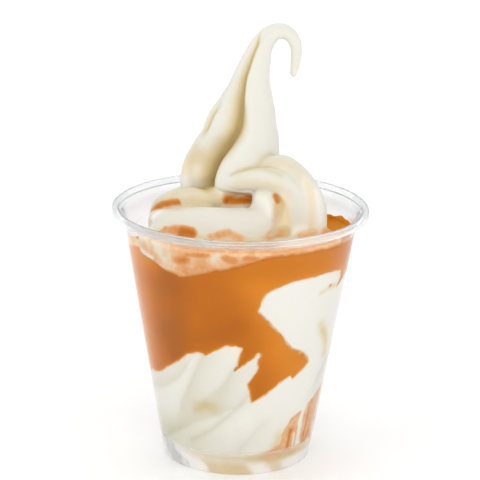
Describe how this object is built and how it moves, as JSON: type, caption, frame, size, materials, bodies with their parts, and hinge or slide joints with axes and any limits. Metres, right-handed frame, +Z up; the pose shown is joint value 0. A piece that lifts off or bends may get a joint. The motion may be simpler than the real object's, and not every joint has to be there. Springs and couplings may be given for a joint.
{
  "type": "caramel sundae in a clear cup",
  "caption": "Clear tapered cup of soft serve with a pocket of caramel sauce against the wall and a tall coiled swirl on top that ends in a curled tip.",
  "frame": {"origin": "centre of the cup's foot ring, on the surface it stands on", "axes": "+Z up along the cup's axis, -Y towards the side with the caramel pocket, +X towards the side the curled tip leans to"},
  "size_m": [0.092, 0.092, 0.1588],
  "materials": {
    "clear_plastic": "clear thin plastic, glossy",
    "soft_serve": "soft ice cream, satin",
    "caramel": "thick caramel sauce, glossy"
  },
  "bodies": {
    "root": {"cup": "clear_plastic", "soft_serve_mound": "soft_serve", "caramel_sauce": "caramel", "soft_serve_swirl": "soft_serve"}
  },
  "joints": []
}
